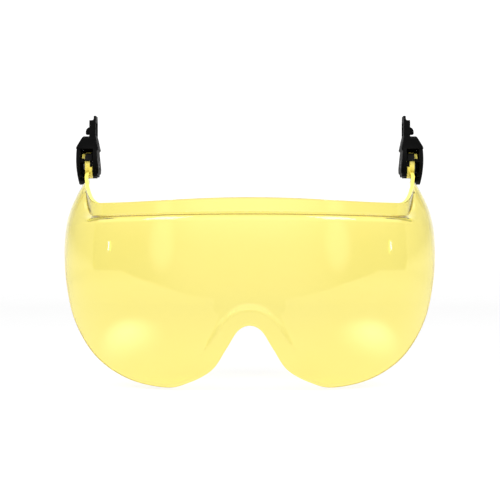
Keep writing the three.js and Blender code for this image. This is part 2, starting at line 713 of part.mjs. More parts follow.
// Pan head screw with a cross recess, head first from x0 towards +X or -X.
function panScrew(headRadius, headThick, shankRadius, x0, length, toward) {
  const profile = [
    new THREE.Vector2(0, 0),
    new THREE.Vector2(headRadius * 0.72, 0),
    new THREE.Vector2(headRadius * 0.93, headThick * 0.3),
    new THREE.Vector2(headRadius, headThick * 0.65),
    new THREE.Vector2(headRadius, headThick),
    new THREE.Vector2(shankRadius, headThick),
    new THREE.Vector2(shankRadius, headThick + length - 0.5),
    new THREE.Vector2(shankRadius - 0.4, headThick + length),
    new THREE.Vector2(0, headThick + length),
  ];
  const geometry = new THREE.LatheGeometry(profile, 24);
  geometry.rotateZ(-Math.PI / 2);
  const slotLong = headRadius * 1.1;
  const slotWide = headRadius * 0.28;
  let screw = solid(geometry);
  for (const [a, b] of [[slotLong, slotWide], [slotWide, slotLong]]) {
    const recess = new THREE.BoxGeometry(headThick * 1.1, a, b);
    screw = screw.subtract(solid(recess));
  }
  const placed = geometryOf(screw);
  if (toward < 0) placed.rotateY(Math.PI);
  placed.translate(x0, 0, 0);
  return solid(placed);
}

function pivotScrew() {
  const head = cheekBack + 0.1;
  const tip = nutFace + nutThick + 0.2;
  return panScrew(screwHeadRadius, screwHeadThick, screwRadius, head, tip - head - screwHeadThick, 1);
}

function pivotNut() {
  const corner = (nutAcross / 2) * hexCorner;
  return barX(corner, nutFace, nutFace + nutThick, 0, 0, 6)
    .subtract(barX(screwRadius + threadGap, nutFace - 1, nutFace + nutThick + 1));
}

function coverScrew() {
  const headThick = 1.0;
  const face = coverFace + 0.9 + sideGap + headThick;
  const length = coverScrewLength - 0.4;
  const screw = panScrew(coverScrewHead, headThick, coverScrewRadius, face, length, -1);
  const placed = geometryOf(screw);
  placed.translate(0, screwY, coverScrewZ);
  return solid(placed);
}

// ---- Assembly -----------------------------------------------------------------------------------------

const materials = {
  lens: { color: '#fdf08a', roughness: 0.05, metalness: 0 },
  nylon: { color: '#151515', roughness: 0.5, metalness: 0 },
  acetal: { color: '#1c1c1c', roughness: 0.4, metalness: 0 },
  washer: { color: '#e8e6dc', roughness: 0.5, metalness: 0 },
  steel: { color: '#3a3b3e', roughness: 0.35, metalness: 1 },
  spring: { color: '#9a9da2', roughness: 0.35, metalness: 1 },
};

const clipPieces = [
  ['clip_body', clipBody, 'nylon'],
  ['outer_cover', outerCover, 'nylon'],
  ['latch_tongue', latchTongue, 'nylon'],
  ['ratchet_hub', ratchetHub, 'acetal'],
  ['detent_pawl', detentPawl, 'spring'],
  ['pivot_bush', pivotBush, 'acetal'],
  ['thrust_washer', thrustWasher, 'washer'],
  ['wave_washer', waveWasher, 'spring'],
  ['pivot_screw', pivotScrew, 'steel'],
  ['pivot_nut', pivotNut, 'steel'],
  ['cover_screw', coverScrew, 'steel'],
];

function mesh(name, geometry, finish) {
  const piece = new THREE.Mesh(geometry, new THREE.MeshStandardMaterial(materials[finish]));
  piece.name = name;
  return piece;
}

const eyeShield = new THREE.Group();
eyeShield.add(mesh('lens', geometryOf(lensSolid()), 'lens'));
for (const [name, make, finish] of clipPieces) {
  const geometry = geometryOf(make());
  eyeShield.add(mesh(`${name}_right`, geometry, finish));
  eyeShield.add(mesh(`${name}_left`, mirrored(geometry), finish));
}

export default eyeShield;
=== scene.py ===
import math

import bpy
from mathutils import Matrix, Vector


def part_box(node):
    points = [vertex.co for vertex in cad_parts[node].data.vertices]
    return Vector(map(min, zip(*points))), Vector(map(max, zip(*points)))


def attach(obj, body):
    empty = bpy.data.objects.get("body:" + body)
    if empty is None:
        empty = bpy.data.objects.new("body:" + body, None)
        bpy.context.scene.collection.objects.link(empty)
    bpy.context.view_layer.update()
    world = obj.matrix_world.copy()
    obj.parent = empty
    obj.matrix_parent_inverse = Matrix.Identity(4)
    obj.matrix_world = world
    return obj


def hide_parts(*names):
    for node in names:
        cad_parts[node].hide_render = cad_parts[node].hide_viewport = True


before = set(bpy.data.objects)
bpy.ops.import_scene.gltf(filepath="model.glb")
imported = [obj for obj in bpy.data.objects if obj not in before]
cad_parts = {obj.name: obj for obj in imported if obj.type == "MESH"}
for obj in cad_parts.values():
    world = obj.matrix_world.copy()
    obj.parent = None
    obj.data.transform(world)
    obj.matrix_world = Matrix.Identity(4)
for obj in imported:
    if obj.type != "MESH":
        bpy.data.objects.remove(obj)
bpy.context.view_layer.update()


# ---- Lens -----------------------------------------------------------------------------------------
# One wrap-round visor, injection moulded in clear yellow polycarbonate with a 2.1 mm wall: a brow band,
# a step out to the bowl, a nose cut-out, and two arms that end in round eyes on the tilt axis.

MM = 0.001
ARM_X = 97.4              # outer face of the arm, from the middle plane
BROW_FRONT = 112          # the brow band stands this far ahead of the tilt axis
ARM_BEND_Y = -10          # the arms run straight back from here
BOWL_BULGE = 11.4         # how far the bowl stands outside the arms
LEDGE_OUT = 4.5           # how far the bowl stands ahead of the brow band
BOWL_BEND_Y = -20         # widest place of the bowl's plan
BAND_FULL_TO = 50         # degrees to which the brow band keeps the bowl's plan, and where it has the arm's
BAND_SLIM_FROM = 82
BROW_LEAN = 0.14          # the band leans back by this much of its height
BROW_TOP = -22.7          # top edge in the middle, and how far it falls towards the sides
BROW_DROP = 2.1
BROW_LEVEL = 45.5         # degrees from the middle where the brow stops falling
LEDGE_Z = -32.8           # the step under the band, and how far it falls towards the sides
LEDGE_FALL = 2
LEDGE_TALL = 5            # height of the step at the front, and where it has faded at the sides
LEDGE_TALL_SIDE = 34
LEDGE_RISE = 5            # the fading step climbs by this much
LEDGE_FADE_FROM = 57      # degrees between which the step fades
LEDGE_FADE_TO = 84
BOWL_MIDDLE_Z = -62       # height at which the bowl stands out furthest
BOWL_CURVE = 0.0023       # upright curvature, 1/mm
NOSE_TOP = -91            # top of the nose cut-out
NOSE_HALF = 11.4          # half width of the nose cut-out, degrees
LOBE_ANGLE = 27.5         # lowest point of the lens, from the middle in degrees
LOBE_BOTTOM = -125.2
CHEEK_ANGLE = 56.4        # middle of the outer curve, and where it turns up into the rear edge
CHEEK_Z = -109.2
SIDE_ANGLE = 73.6
SIDE_Z = -73.3
NOSE_FOLD_OUT = 2.0       # the border round the nose cut-out stands out by this much
NOSE_FOLD_WIDE = 8.2      # width of the raised border round the nose cut-out
NOSE_FOLD_STEP = 3.6      # width of the step down from it, and of the hollow that follows
NOSE_FOLD_HOLLOW = 12
NOSE_FOLD_FROM = 13       # degrees where the border starts to fade, and over which it fades
NOSE_FOLD_FADE = 9
NOSE_FOLD_SHARE = 0.65    # share of the border's height that is in the step
ARM_TOP_ANGLE = 69.5      # where the arm's top edge starts, its height there, and its climb per degree
ARM_TOP_Z = -15.7
ARM_TOP_SLOPE = 0.5
ARM_ROOT_Z = -16          # lower edge of the arm where it bends straight back
LENS_WALL = 2.1
EDGE_RADIUS = 0.45
EYE_RADIUS = 7.4
EYE_OUTER = 98.0
EYE_INNER = 95.1
BUSH_RADIUS = 3.0
RUNNING_GAP = 0.08        # of the eye on the bush
KEY_OUT = 1.0             # the driving key stands this far past the eye's rim
KEY_INNER = 93.7
KEY_ARC = (-72, -12)      # degrees from straight ahead upwards
TOOTH_ARC = (27, 60)      # stop tooth on the eye's outer face
TOOTH_CLEAR = 2.6         # from the bush to the tooth
TOOTH_TALL = 1.8


def smooth(t):
    t = min(max(t, 0), 1)
    return t * t * (3 - 2 * t)


def rounded_line(points, steps):
    """Points of a curve that runs smoothly through all of the given ones."""
    line = []
    last = len(points) - 1
    for i in range(last):
        a, b, c, d = (points[min(max(i + k, 0), last)] for k in (-1, 0, 1, 2))
        for s in range(steps):
            t = s / steps
            line.append(tuple(
                0.5 * (2 * q + (r - p) * t + (2 * p - 5 * q + 4 * r - e) * t ** 2
                       + (3 * q - p - 3 * r + e) * t ** 3)
                for p, q, r, e in zip(a, b, c, d)))
    line.append(points[-1])
    return line


# Height of the lower edge against the angle from the middle, from the nose out to the arm.
lower_edge = rounded_line([
    (-3.4, NOSE_TOP - 2.9),
    (0, NOSE_TOP),
    (3.4, NOSE_TOP - 2.9),
    (0.6 * NOSE_HALF, NOSE_TOP - 12.6),
    (NOSE_HALF, NOSE_TOP - 24),
    ((NOSE_HALF + LOBE_ANGLE) / 2, LOBE_BOTTOM + 2.7),
    (LOBE_ANGLE, LOBE_BOTTOM),
    ((LOBE_ANGLE + CHEEK_ANGLE) / 2, LOBE_BOTTOM + 4.2),
    (CHEEK_ANGLE, CHEEK_Z),
    ((CHEEK_ANGLE + SIDE_ANGLE) / 2 + 3.2, (CHEEK_Z + SIDE_Z) / 2 + 1.5),
    (SIDE_ANGLE, SIDE_Z),
    (SIDE_ANGLE + 5, SIDE_Z + 17),
    (SIDE_ANGLE + 10, SIDE_Z + 36),
    (SIDE_ANGLE + 13.5, SIDE_Z + 49),
    (90, ARM_ROOT_Z),
    (96, ARM_ROOT_Z + 4.5),
], 24)
nose_edge = [p for p in lower_edge if 0 <= p[0] < NOSE_HALF + 3]


def lens_bottom(angle):
    for (a0, z0), (a1, z1) in zip(lower_edge, lower_edge[1:]):
        if a1 >= angle and a1 > a0:
            return z0 + (z1 - z0) * (angle - a0) / (a1 - a0)
    return lower_edge[-1][1]


def lens_top(angle):
    brow = BROW_TOP - BROW_DROP * math.sin(min(angle / BROW_LEVEL, 1) * math.pi / 2) ** 2
    arm = ARM_TOP_Z + (angle - ARM_TOP_ANGLE) * ARM_TOP_SLOPE
    hollow = smooth((angle - BROW_LEVEL - 5) / (ARM_TOP_ANGLE - BROW_LEVEL - 5))
    return brow + (arm - brow) * hollow


def ledge_at(angle):
    """Top and bottom of the step under the brow band, crisp at the front and faded at the sides."""
    fade = smooth((angle - LEDGE_FADE_FROM) / (LEDGE_FADE_TO - LEDGE_FADE_FROM))
    tall = LEDGE_TALL + (LEDGE_TALL_SIDE - LEDGE_TALL) * fade
    fall = LEDGE_FALL * math.sin(math.radians(min(angle, 90))) ** 2
    middle = LEDGE_Z - fall + (LEDGE_RISE + LEDGE_FALL) * fade
    return middle + tall / 2, middle - tall / 2


def lens_skin(side, angle, z):
    """A point of the outer skin, from its angle off the middle and its height."""
    turn = math.radians(min(angle, 90))
    back = math.radians(max(angle - 90, 0))
    along = math.cos(turn) - back
    top, bottom = ledge_at(angle)
    full = 1 - smooth((angle - BAND_FULL_TO) / (BAND_SLIM_FROM - BAND_FULL_TO))
    band_half = ARM_X + (BOWL_BULGE - LEDGE_OUT) * full
    band_bend = ARM_BEND_Y + (BOWL_BEND_Y - ARM_BEND_Y) * full
    lean = BROW_LEAN * (z - bottom) * max(along, 0)
    band = (band_half * math.sin(turn), band_bend - (BROW_FRONT + band_bend) * along + lean)
    sag = BOWL_CURVE * (z - BOWL_MIDDLE_Z) ** 2
    bowl = ((ARM_X + BOWL_BULGE - sag) * math.sin(turn),
            BOWL_BEND_Y - (BROW_FRONT + LEDGE_OUT - sag + BOWL_BEND_Y) * along)
    t = 1 - (1 - min(max((top - z) / (top - bottom), 0), 1)) ** 3
    x = band[0] + (bowl[0] - band[0]) * t
    y = band[1] + (bowl[1] - band[1]) * t
    per_degree = math.radians(1) * (ARM_X + BOWL_BULGE)
    past_border = min(math.hypot((angle - a) * per_degree, z - h) for a, h in nose_edge) - NOSE_FOLD_WIDE
    fold = (NOSE_FOLD_SHARE * smooth(past_border / NOSE_FOLD_STEP)
            + (1 - NOSE_FOLD_SHARE) * smooth(past_border / NOSE_FOLD_HOLLOW))
    y -= NOSE_FOLD_OUT * (1 - fold) * (1 - smooth((angle - NOSE_FOLD_FROM) / NOSE_FOLD_FADE))
    return Vector((side * x, y, z)) * MM


def deselect_all():
    for o in bpy.context.selected_objects:
        o.select_set(False)


def name_active(name):
    piece = bpy.context.active_object
    piece.name = name
    piece.data.name = name
    return piece


def choose(piece):
    deselect_all()
    piece.select_set(True)
    bpy.context.view_layer.objects.active = piece


def apply_modifier(piece, kind, **settings):
    choose(piece)
    modifier = piece.modifiers.new(kind.title(), kind)
    for key, value in settings.items():
        setattr(modifier, key, value)
    bpy.ops.object.modifier_apply(modifier=modifier.name)


def combine(piece, tool, operation):
    """Joins a tool solid to a piece, or cuts it away, and removes the tool."""
    apply_modifier(piece, "BOOLEAN", object=tool, operation=operation, solver="EXACT")
    bpy.data.objects.remove(tool)


def edit(piece, mode="FACE"):
    choose(piece)
    bpy.ops.object.mode_set(mode="EDIT")
    bpy.ops.mesh.select_mode(type=mode)


def leave():
    bpy.ops.object.mode_set(mode="OBJECT")


def bar_along_x(radius, x0, x1, y=0, z=0, sides=96):
    """Round bar along X, in millimetres, with its place in its mesh."""
    deselect_all()
    bpy.ops.mesh.primitive_cylinder_add(
        vertices=sides, radius=radius * MM, depth=abs(x1 - x0) * MM,
        location=((x0 + x1) / 2 * MM, y * MM, z * MM), rotation=(0, math.pi / 2, 0))
    bar = name_active("bar")
    bpy.ops.object.transform_apply(location=True, rotation=True, scale=True)
    return bar


def sector_about_axis(r0, r1, start, end, x0, x1):
    """Stretch of ring about the tilt axis. Angles are counted from straight ahead upwards."""
    ring = bar_along_x(r1, x0, x1)
    combine(ring, bar_along_x(r0, x0 - 1, x1 + 1), "DIFFERENCE")
    edit(ring)
    for angle, turn in ((start, 1), (end, -1)):
        bpy.ops.mesh.select_all(action="SELECT")
        across = Vector((0, math.sin(math.radians(angle)), math.cos(math.radians(angle)))) * turn
        bpy.ops.mesh.bisect(plane_co=(0, 0, 0), plane_no=across, use_fill=True, clear_inner=True)
    leave()
    return ring


# The skin: a grid whose columns are closest at the nose and whose rows follow the step.
columns_per_side = 110
column_runs = ((0, 15, 0.24), (15, 55, 0.32), (55, 76, 0.26), (76, 92.8, 0.18))
row_runs = (8, 16, 36)
rows = sum(row_runs)


def column_angle(share):
    done = 0
    for first, last, part in column_runs:
        if share <= done + part + 1e-6:
            return first + (last - first) * (share - done) / part
        done += part
    return column_runs[-1][1]


def row_heights(angle):
    top, bottom = lens_top(angle), lens_bottom(angle)
    ledge_top, ledge_bottom = ledge_at(angle)
    tall = top - bottom
    upper = min(max((top - ledge_top) / tall, 0.06), 0.35)
    lower = min(max((top - ledge_bottom) / tall, upper + 0.05), 0.6)
    stops = (0, upper, lower, 1)
    heights = []
    for run, count in enumerate(row_runs):
        for j in range(count):
            heights.append(top - tall * (stops[run] + (stops[run + 1] - stops[run]) * j / count))
    return heights + [bottom]


deselect_all()
bpy.ops.mesh.primitive_grid_add(
    x_subdivisions=2 * columns_per_side, y_subdivisions=rows, size=2)
lens = name_active("visor_lens")
heights_by_column = {}
for v in lens.data.vertices:
    column = round(v.co.x * columns_per_side)
    angle = column_angle(abs(column) / columns_per_side)
    if abs(column) not in heights_by_column:
        heights_by_column[abs(column)] = row_heights(angle)
    row = round((1 - v.co.y) / 2 * rows)
    v.co = lens_skin(-1 if column < 0 else 1, angle, heights_by_column[abs(column)][row])
edit(lens)
bpy.ops.mesh.select_all(action="SELECT")
bpy.ops.mesh.normals_make_consistent(inside=False)
leave()
front_face = min(lens.data.polygons, key=lambda p: p.center.y)
if front_face.normal.y > 0:
    lens.data.flip_normals()
# The first material slot is for the polished skins, and the second for the trimmed edge all round.
for finish in ("polished", "ground"):
    lens.data.materials.append(bpy.data.materials.new(finish))
apply_modifier(lens, "SOLIDIFY", thickness=LENS_WALL * MM, offset=-1, use_even_offset=True,
               use_quality_normals=True, material_offset_rim=1)
apply_modifier(lens, "BEVEL", width=EDGE_RADIUS * MM, segments=3, limit_method="ANGLE",
               angle_limit=math.radians(50))
for side in (1, -1):
    eye = bar_along_x(EYE_RADIUS, side * EYE_INNER, side * EYE_OUTER)
    combine(lens, eye, "UNION")
    key = sector_about_axis(BUSH_RADIUS + 1, EYE_RADIUS + KEY_OUT, *KEY_ARC,
                            *sorted((side * KEY_INNER, side * (EYE_INNER + 0.5))))
    combine(lens, key, "UNION")
    tooth = sector_about_axis(BUSH_RADIUS + TOOTH_CLEAR, EYE_RADIUS, *TOOTH_ARC,
                              *sorted((side * (EYE_OUTER - 0.5), side * (EYE_OUTER + TOOTH_TALL))))
    combine(lens, tooth, "UNION")
combine(lens, bar_along_x(BUSH_RADIUS + RUNNING_GAP, -EYE_OUTER - 5, EYE_OUTER + 5), "DIFFERENCE")
choose(lens)
bpy.ops.object.shade_smooth_by_angle(angle=math.radians(35))


def linear(hex_colour):
    """Linear colour of an sRGB hex value."""
    parts = (int(hex_colour[i:i + 2], 16) / 255 for i in (1, 3, 5))
    return tuple(c / 12.92 if c <= 0.04045 else ((c + 0.055) / 1.055) ** 2.4 for c in parts) + (1,)


def node(tree, kind, links=None, **settings):
    """Adds a node. Settings go to its sockets by name or number, or else to its own properties."""
    made = tree.nodes.new(kind)
    for key, value in settings.items():
        setattr(made, key, value)
    for key, value in (links or {}).items():
        socket = made.inputs[key]
        if isinstance(value, bpy.types.NodeSocket):
            tree.links.new(value, socket)
        else:
            socket.default_value = value
    return made


def new_material(name):
    material = bpy.data.materials.new(name)
    material.use_nodes = True
    material.node_tree.nodes.clear()
    return material, material.node_tree


# Clear polycarbonate: glossy from the polished mould, with a tint that deepens where light runs along
# the wall, and a trace of haze and handling marks that softens its reflections.
polycarbonate, tree = new_material("clear_yellow_polycarbonate")
place = node(tree, "ShaderNodeTexCoord").outputs["Object"]
flow = node(tree, "ShaderNodeTexNoise", {"Vector": place, "Scale": 1 / 0.030, "Detail": 2.0})
haze = node(tree, "ShaderNodeTexNoise", {"Vector": place, "Scale": 1 / 0.009, "Detail": 5.0})
tint = node(tree, "ShaderNodeMix", {0: flow.outputs["Fac"]}, data_type="RGBA")
tint.inputs[6].default_value = linear("#fff19c")
tint.inputs[7].default_value = linear("#fff094")
gloss = node(tree, "ShaderNodeMapRange", {
    "Value": haze.outputs["Fac"], "From Min": 0.3, "From Max": 0.7, "To Min": 0.02, "To Max": 0.055})
ripple = node(tree, "ShaderNodeBump", {
    "Height": flow.outputs["Fac"], "Strength": 0.25, "Distance": 0.00008})
surface = node(tree, "ShaderNodeBsdfPrincipled", {
    "Base Color": tint.outputs[2], "Roughness": gloss.outputs["Result"],
    "Normal": ripple.outputs["Normal"], "IOR": 1.586, "Transmission Weight": 1.0})
inside = node(tree, "ShaderNodeVolumeAbsorption", {
    "Color": (1.0, 0.985, 0.05, 1), "Density": 170.0})
node(tree, "ShaderNodeOutputMaterial", {
    "Surface": surface.outputs["BSDF"], "Volume": inside.outputs["Volume"]})

# The trimmed edges and the eyes are ground matt, which scatters the light in them to a full yellow.
ground, tree = new_material("ground_yellow_polycarbonate")
place = node(tree, "ShaderNodeTexCoord").outputs["Object"]
rubbed = node(tree, "ShaderNodeTexNoise", {"Vector": place, "Scale": 1 / 0.0014, "Detail": 3.0})
colour = node(tree, "ShaderNodeMix", {0: rubbed.outputs["Fac"]}, data_type="RGBA")
colour.inputs[6].default_value = linear("#ffe63c")
colour.inputs[7].default_value = linear("#fff58c")
relief = node(tree, "ShaderNodeBump", {
    "Height": rubbed.outputs["Fac"], "Strength": 0.5, "Distance": 0.00004})
surface = node(tree, "ShaderNodeBsdfPrincipled", {
    "Base Color": colour.outputs[2], "Roughness": 0.45, "IOR": 1.586, "Transmission Weight": 0.1,
    "Normal": relief.outputs["Normal"]})
node(tree, "ShaderNodeOutputMaterial", {"Surface": surface.outputs["BSDF"]})

for i, material in enumerate((polycarbonate, ground)):
    lens.data.materials[i] = material
for f in lens.data.polygons:
    x, y, z = f.center / MM
    if abs(x) > KEY_INNER - 0.5 and math.hypot(y, z) < EYE_RADIUS + KEY_OUT + 0.2:
        f.material_index = 1
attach(lens, "visor")
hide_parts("lens")


# ---- Clip bodies, covers and latch tongues ----------------------------------------------------------
# Each side clip is a moulded body with a blade for the helmet's slot, a screwed-on outer cover over
# the arm's eye, and a sprung tongue in the blade. All are black glass-filled nylon with a fine spark
# grain from the mould, and with small radii along every edge.

SIDES = ("left", "right")


def finished_copy(cad_node, name, edge, segments=2):
    """A copy of a CAD solid with its triangles merged into faces and its edges rounded."""
    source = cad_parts[cad_node]
    piece = bpy.data.objects.new(name, source.data.copy())
    piece.data.name = name
    bpy.context.scene.collection.objects.link(piece)
    edit(piece)
    bpy.ops.mesh.select_all(action="SELECT")
    bpy.ops.mesh.remove_doubles(threshold=0.002 * MM)
    bpy.ops.mesh.dissolve_limited(angle_limit=math.radians(1))
    leave()
    apply_modifier(piece, "BEVEL", width=edge * MM, segments=segments, limit_method="ANGLE",
                   angle_limit=math.radians(25), use_clamp_overlap=True)
    choose(piece)
    bpy.ops.object.shade_smooth_by_angle(angle=math.radians(40))
    piece.data.materials.clear()
    return piece


def install(piece, body, cad_node, material):
    piece.data.materials.append(material)
    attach(piece, body)
    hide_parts(cad_node)


def moulded_black(name, dark, light, grain_mm, rough_low, rough_high, relief_mm):
    """Matt black moulded plastic: mottled colour, uneven gloss and a fine grain in relief."""
    material, tree = new_material(name)
    place = node(tree, "ShaderNodeTexCoord").outputs["Object"]
    cloud = node(tree, "ShaderNodeTexNoise", {"Vector": place, "Scale": 1 / 0.006, "Detail": 4.0})
    grain = node(tree, "ShaderNodeTexNoise", {
        "Vector": place, "Scale": 1 / (grain_mm * MM), "Detail": 2.0, "Roughness": 0.6})
    colour = node(tree, "ShaderNodeMix", {0: cloud.outputs["Fac"]}, data_type="RGBA")
    colour.inputs[6].default_value = linear(dark)
    colour.inputs[7].default_value = linear(light)
    gloss = node(tree, "ShaderNodeMapRange", {
        "Value": cloud.outputs["Fac"], "From Min": 0.3, "From Max": 0.7,
        "To Min": rough_low, "To Max": rough_high})
    relief = node(tree, "ShaderNodeBump", {
        "Height": grain.outputs["Fac"], "Strength": 0.6, "Distance": relief_mm * MM})
    surface = node(tree, "ShaderNodeBsdfPrincipled", {
        "Base Color": colour.outputs[2], "Roughness": gloss.outputs["Result"],
        "Normal": relief.outputs["Normal"], "IOR": 1.53, "Specular IOR Level": 0.04})
    node(tree, "ShaderNodeOutputMaterial", {"Surface": surface.outputs["BSDF"]})
    return material


nylon = moulded_black("black_glass_filled_nylon", "#020202", "#080808", 0.35, 0.46, 0.62, 0.03)
for side in SIDES:
    install(finished_copy("clip_body_" + side, "clip_housing_" + side, 0.35, 3), "clips",
            "clip_body_" + side, nylon)
    install(finished_copy("outer_cover_" + side, "pivot_cover_" + side, 0.3, 3), "clips",
            "outer_cover_" + side, nylon)
    install(finished_copy("latch_tongue_" + side, "slot_latch_" + side, 0.2, 3), "latch_" + side,
            "latch_tongue_" + side, nylon)


# ---- Ratchet hubs and pivot bushes ------------------------------------------------------------------
# Inside each clip a notched hub is keyed to the arm's eye, and both turn on a bush. They are black
# acetal, turned or moulded smooth, which looks waxy beside the nylon.

BUSH_BORE = 1.6
acetal = moulded_black("black_acetal", "#0a0a0a", "#121212", 1.2, 0.3, 0.38, 0.01)


def ring_along_x(name, outer, inner, x0, x1, edge=0.0, sides=96):
    """A ring about the tilt axis: a circle drawn inwards to a flat band, then extruded along X."""
    deselect_all()
    bpy.ops.mesh.primitive_circle_add(
        vertices=sides, radius=outer * MM, fill_type="NOTHING", location=(x0 * MM, 0, 0),
        rotation=(0, math.pi / 2, 0))
    ring = name_active(name)
    bpy.ops.object.transform_apply(location=True, rotation=True, scale=True)
    edit(ring, "EDGE")
    bpy.ops.mesh.select_all(action="SELECT")
    bpy.ops.mesh.extrude_region_move()
    bpy.ops.transform.resize(value=(1, inner / outer, inner / outer), center_override=(x0 * MM, 0, 0))
    bpy.ops.mesh.select_all(action="SELECT")
    bpy.ops.mesh.extrude_region_move(TRANSFORM_OT_translate={"value": ((x1 - x0) * MM, 0, 0)})
    bpy.ops.mesh.select_all(action="SELECT")
    bpy.ops.mesh.normals_make_consistent(inside=False)
    leave()
    if edge:
        apply_modifier(ring, "BEVEL", width=edge * MM, segments=2, limit_method="ANGLE",
                       angle_limit=math.radians(60))
    choose(ring)
    bpy.ops.object.shade_smooth_by_angle(angle=math.radians(40))
    return ring


def axis_range(cad_node):
    low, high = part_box(cad_node)
    return low.x / MM, high.x / MM


for side in SIDES:
    install(finished_copy("ratchet_hub_" + side, "notched_hub_" + side, 0.12), "visor",
            "ratchet_hub_" + side, acetal)
    bush = ring_along_x("turning_bush_" + side, BUSH_RADIUS, BUSH_BORE,
                        *axis_range("pivot_bush_" + side), edge=0.15)
    install(bush, "clips", "pivot_bush_" + side, acetal)


# ---- Thrust washers -----------------------------------------------------------------------------------
# A thin natural nylon washer keeps the hub off the clip's cheek. It is milky white and slightly waxy.

milky, tree = new_material("natural_white_nylon")
place = node(tree, "ShaderNodeTexCoord").outputs["Object"]
cloud = node(tree, "ShaderNodeTexNoise", {"Vector": place, "Scale": 1 / 0.002, "Detail": 3.0})
colour = node(tree, "ShaderNodeMix", {0: cloud.outputs["Fac"]}, data_type="RGBA")
colour.inputs[6].default_value = linear("#e2dfd2")
colour.inputs[7].default_value = linear("#efece2")
relief = node(tree, "ShaderNodeBump", {
    "Height": cloud.outputs["Fac"], "Strength": 0.3, "Distance": 0.00001})
surface = node(tree, "ShaderNodeBsdfPrincipled", {
    "Base Color": colour.outputs[2], "Roughness": 0.45, "IOR": 1.53, "Normal": relief.outputs["Normal"],
    "Subsurface Weight": 0.2, "Subsurface Radius": (0.0008, 0.0008, 0.0006), "Subsurface Scale": 1.0})
node(tree, "ShaderNodeOutputMaterial", {"Surface": surface.outputs["BSDF"]})
for side in SIDES:
    washer = ring_along_x("slip_washer_" + side, BUSH_RADIUS + 2.2, BUSH_RADIUS + 0.2,
                          *axis_range("thrust_washer_" + side), edge=0.06)
    install(washer, "clips", "thrust_washer_" + side, milky)


# ---- Springs ------------------------------------------------------------------------------------------
# A wave washer presses the eye against the hub, and a bent leaf clicks into the hub's notches. Both are
# stamped from blue-grey tempered spring strip, with rolling lines along the surface.

def steel(name, dark, light, rough_low, rough_high, grain_mm, stretch, relief_mm):
    """Metal with a fine drawn grain, stretched along one axis, and uneven polish."""
    material, tree = new_material(name)
    place = node(tree, "ShaderNodeTexCoord").outputs["Object"]
    drawn = node(tree, "ShaderNodeMapping", {"Vector": place, "Scale": stretch})
    lines = node(tree, "ShaderNodeTexNoise", {
        "Vector": drawn.outputs["Vector"], "Scale": 1 / (grain_mm * MM), "Detail": 3.0})
    stain = node(tree, "ShaderNodeTexNoise", {"Vector": place, "Scale": 1 / 0.0015, "Detail": 4.0})
    colour = node(tree, "ShaderNodeMix", {0: stain.outputs["Fac"]}, data_type="RGBA")
    colour.inputs[6].default_value = linear(dark)
    colour.inputs[7].default_value = linear(light)
    gloss = node(tree, "ShaderNodeMapRange", {
        "Value": lines.outputs["Fac"], "From Min": 0.3, "From Max": 0.7,
        "To Min": rough_low, "To Max": rough_high})
    relief = node(tree, "ShaderNodeBump", {
        "Height": lines.outputs["Fac"], "Strength": 0.4, "Distance": relief_mm * MM})
    surface = node(tree, "ShaderNodeBsdfPrincipled", {
        "Base Color": colour.outputs[2], "Metallic": 1.0, "Roughness": gloss.outputs["Result"],
        "Normal": relief.outputs["Normal"]})
    node(tree, "ShaderNodeOutputMaterial", {"Surface": surface.outputs["BSDF"]})
    return material


strip = steel("tempered_spring_strip", "#7c8188", "#989da4", 0.28, 0.42, 0.15, (1, 1, 0.1), 0.01)
WAVE_THICK = 0.3
for side in SIDES:
    x0, x1 = axis_range("wave_washer_" + side)
    wave_middle = (x0 + x1) / 2
    swing = (x1 - x0 - WAVE_THICK) / 2
    wave = ring_along_x("wave_spring_" + side, BUSH_RADIUS + 2.1, BUSH_RADIUS + 0.25,
                        wave_middle - WAVE_THICK / 2, wave_middle + WAVE_THICK / 2)
    for v in wave.data.vertices:
        v.co.x += swing * MM * math.cos(3 * math.atan2(v.co.z, v.co.y))
    install(wave, "clips", "wave_washer_" + side, strip)
    install(finished_copy("detent_pawl_" + side, "detent_leaf_" + side, 0.08), "pawl_" + side,
            "detent_pawl_" + side, strip)


# ---- Screws and nuts ------------------------------------------------------------------------------------
# The pivot is a cross-recess pan head screw from the inside, held by a hexagon nut in the cover, and a
# small screw holds the cover. They are cold-headed steel, black zinc plated.

PIVOT_SCREW = (2.75, 1.4, 1.5)    # head radius, head height, shank radius
COVER_SCREW = (1.7, 1.0, 0.9)
NUT_ACROSS = 5.5                  # across flats
NUT_BORE = 1.55
zinc = steel("black_zinc_plate", "#1d1e20", "#33353a", 0.3, 0.45, 0.4, (1, 1, 1), 0.006)


def faces_facing(piece, way):
    """Selects the flat end of a solid that faces along X."""
    for f in piece.data.polygons:
        f.select = f.normal.x * way > 0.99


